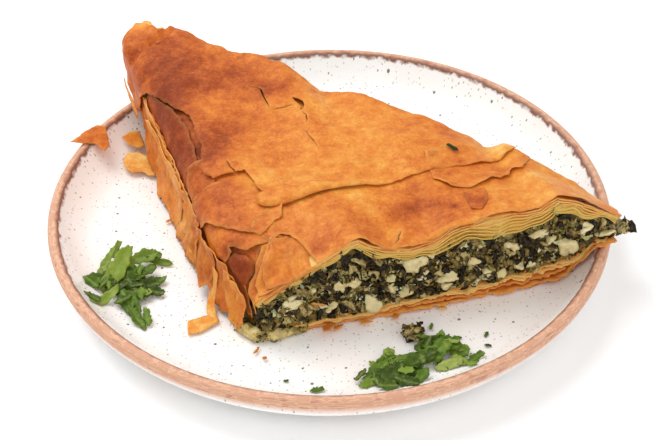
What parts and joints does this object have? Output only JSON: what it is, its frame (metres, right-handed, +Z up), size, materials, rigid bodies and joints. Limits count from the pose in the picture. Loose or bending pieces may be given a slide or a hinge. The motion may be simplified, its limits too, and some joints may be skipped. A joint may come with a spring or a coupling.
{
  "type": "spanakopita slice on a plate",
  "caption": "Three-cornered slice of spinach and feta filo pie, cut side to the front, on a round speckled stoneware plate with chopped parsley.",
  "frame": {"origin": "middle of the plate's flat foot, on the table", "axes": "+Z up; -Y is the side that the slice's long front cut faces; +X to the right of it"},
  "size_m": [0.2268, 0.22, 0.0496],
  "materials": {
    "stoneware": "glossy white glaze with small grey-brown speckles and a bare peach-brown rim",
    "filo": "baked filo pastry, golden to dark brown, dry and brittle, satin where it is buttered",
    "base_filo": "baked filo pastry of the base, soft and layered, with cut edges showing",
    "filling": "cooked chopped spinach with feta, moist",
    "parsley": "chopped fresh flat-leaf parsley"
  },
  "bodies": {
    "root": {"plate": "stoneware", "bottom_crust": "base_filo", "filling": "filling", "top_crust": "filo", "hanging_strip": "filo", "flake_rim": "filo", "flake_back": "filo", "flake_side": "filo", "parsley_left": "parsley", "parsley_front": "parsley", "filling_crumb": "filling"}
  },
  "joints": []
}
